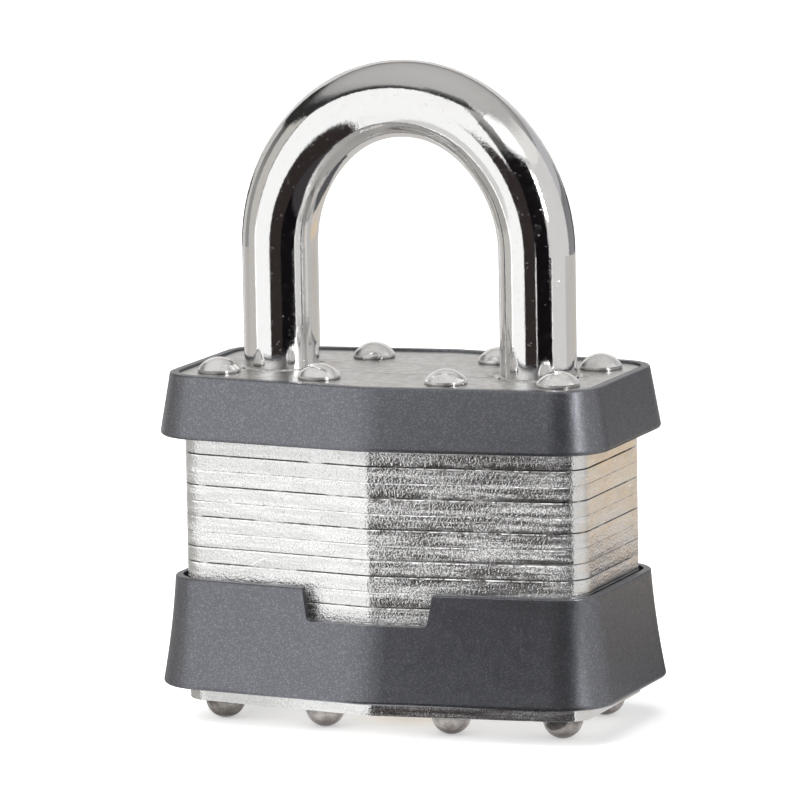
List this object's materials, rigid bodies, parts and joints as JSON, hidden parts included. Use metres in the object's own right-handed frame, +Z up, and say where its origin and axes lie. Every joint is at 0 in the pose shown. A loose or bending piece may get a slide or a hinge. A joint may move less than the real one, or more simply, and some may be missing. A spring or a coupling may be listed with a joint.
{
  "type": "padlock",
  "caption": "Laminated steel padlock with a ridged front, riveted plates, two moulded bumper bands and a round lifting shackle locked by levers and a pin cylinder.",
  "frame": {"origin": "middle of the underside, level with the lower rivet heads", "axes": "+Z up towards the shackle, +X to the right seen from the front, the front faces -Y"},
  "size_m": [0.0496, 0.0302, 0.0687],
  "materials": {
    "plate_steel": "zinc plated, rolled and punched plate",
    "rivet_steel": "zinc plated, headed",
    "bumper": "dark grey with fine metallic fleck",
    "chrome_bar": "polished chrome",
    "brass": "turned brass",
    "lever_steel": "stamped steel",
    "spring_steel": "drawn spring wire"
  },
  "bodies": {
    "body": {"bottom_plate": "plate_steel", "plate_02": "plate_steel", "plate_03": "plate_steel", "plate_04": "plate_steel", "plate_05": "plate_steel", "plate_06": "plate_steel", "plate_07": "plate_steel", "plate_08": "plate_steel", "plate_09": "plate_steel", "plate_10": "plate_steel", "plate_11": "plate_steel", "plate_12": "plate_steel", "plate_13": "plate_steel", "plate_14": "plate_steel", "plate_15": "plate_steel", "plate_16": "plate_steel", "plate_17": "plate_steel", "plate_18": "plate_steel", "plate_19": "plate_steel", "plate_20": "plate_steel", "top_plate": "plate_steel", "rivets": "rivet_steel", "upper_bumper": "bumper", "lower_bumper": "bumper", "cylinder_shell": "brass", "chamber_cover": "lever_steel", "shackle_spring": "spring_steel", "toe_lever_spring": "spring_steel", "heel_lever_spring": "spring_steel", "pin_spring_1": "spring_steel", "pin_spring_2": "spring_steel", "pin_spring_3": "spring_steel", "pin_spring_4": "spring_steel"},
    "shackle": {"shackle": "chrome_bar"},
    "plug": {"plug": "brass", "cam": "lever_steel"},
    "toe_lever": {"toe_lever": "lever_steel"},
    "heel_lever": {"heel_lever": "lever_steel"},
    "key_pin_1": {"key_pin_1": "brass"},
    "key_pin_2": {"key_pin_2": "brass"},
    "key_pin_3": {"key_pin_3": "brass"},
    "key_pin_4": {"key_pin_4": "brass"},
    "driver_pin_1": {"driver_pin_1": "brass"},
    "driver_pin_2": {"driver_pin_2": "brass"},
    "driver_pin_3": {"driver_pin_3": "brass"},
    "driver_pin_4": {"driver_pin_4": "brass"}
  },
  "joints": [
    {"name": "shackle_lift", "type": "slide", "parent": "body", "child": "shackle", "axis": [0, 0, 1], "range_m": [0, 0.0112], "deforming": ["shackle_spring"]},
    {"name": "plug_turn", "type": "hinge", "parent": "body", "child": "plug", "pos_m": [0, 0, 0.01], "axis": [0, 0, 1], "range_deg": [-90, 0]},
    {"name": "toe_lever_slide", "type": "slide", "parent": "body", "child": "toe_lever", "axis": [1, 0, 0], "range_m": [0, 0.0022], "deforming": ["toe_lever_spring"]},
    {"name": "heel_lever_slide", "type": "slide", "parent": "body", "child": "heel_lever", "axis": [-1, 0, 0], "range_m": [0, 0.0022], "deforming": ["heel_lever_spring"]},
    {"name": "key_pin_1_slide", "type": "slide", "parent": "plug", "child": "key_pin_1", "axis": [0, -1, 0], "range_m": [0, 0.0016]},
    {"name": "key_pin_2_slide", "type": "slide", "parent": "plug", "child": "key_pin_2", "axis": [0, -1, 0], "range_m": [0, 0.0006]},
    {"name": "key_pin_3_slide", "type": "slide", "parent": "plug", "child": "key_pin_3", "axis": [0, -1, 0], "range_m": [0, 0.0012]},
    {"name": "key_pin_4_slide", "type": "slide", "parent": "plug", "child": "key_pin_4", "axis": [0, -1, 0], "range_m": [0, 0.0004]},
    {"name": "driver_pin_1_slide", "type": "slide", "parent": "body", "child": "driver_pin_1", "axis": [1, 0, 0], "range_m": [0, 0.0015], "deforming": ["pin_spring_1"]},
    {"name": "driver_pin_2_slide", "type": "slide", "parent": "body", "child": "driver_pin_2", "axis": [1, 0, 0], "range_m": [0, 0.0015], "deforming": ["pin_spring_2"]},
    {"name": "driver_pin_3_slide", "type": "slide", "parent": "body", "child": "driver_pin_3", "axis": [1, 0, 0], "range_m": [0, 0.0015], "deforming": ["pin_spring_3"]},
    {"name": "driver_pin_4_slide", "type": "slide", "parent": "body", "child": "driver_pin_4", "axis": [1, 0, 0], "range_m": [0, 0.0015], "deforming": ["pin_spring_4"]}
  ],
  "couplings": [
    {"joint": "toe_lever_slide", "follows": "plug_turn", "m_per_rad": -0.0014006},
    {"joint": "heel_lever_slide", "follows": "plug_turn", "m_per_rad": -0.0014006}
  ]
}
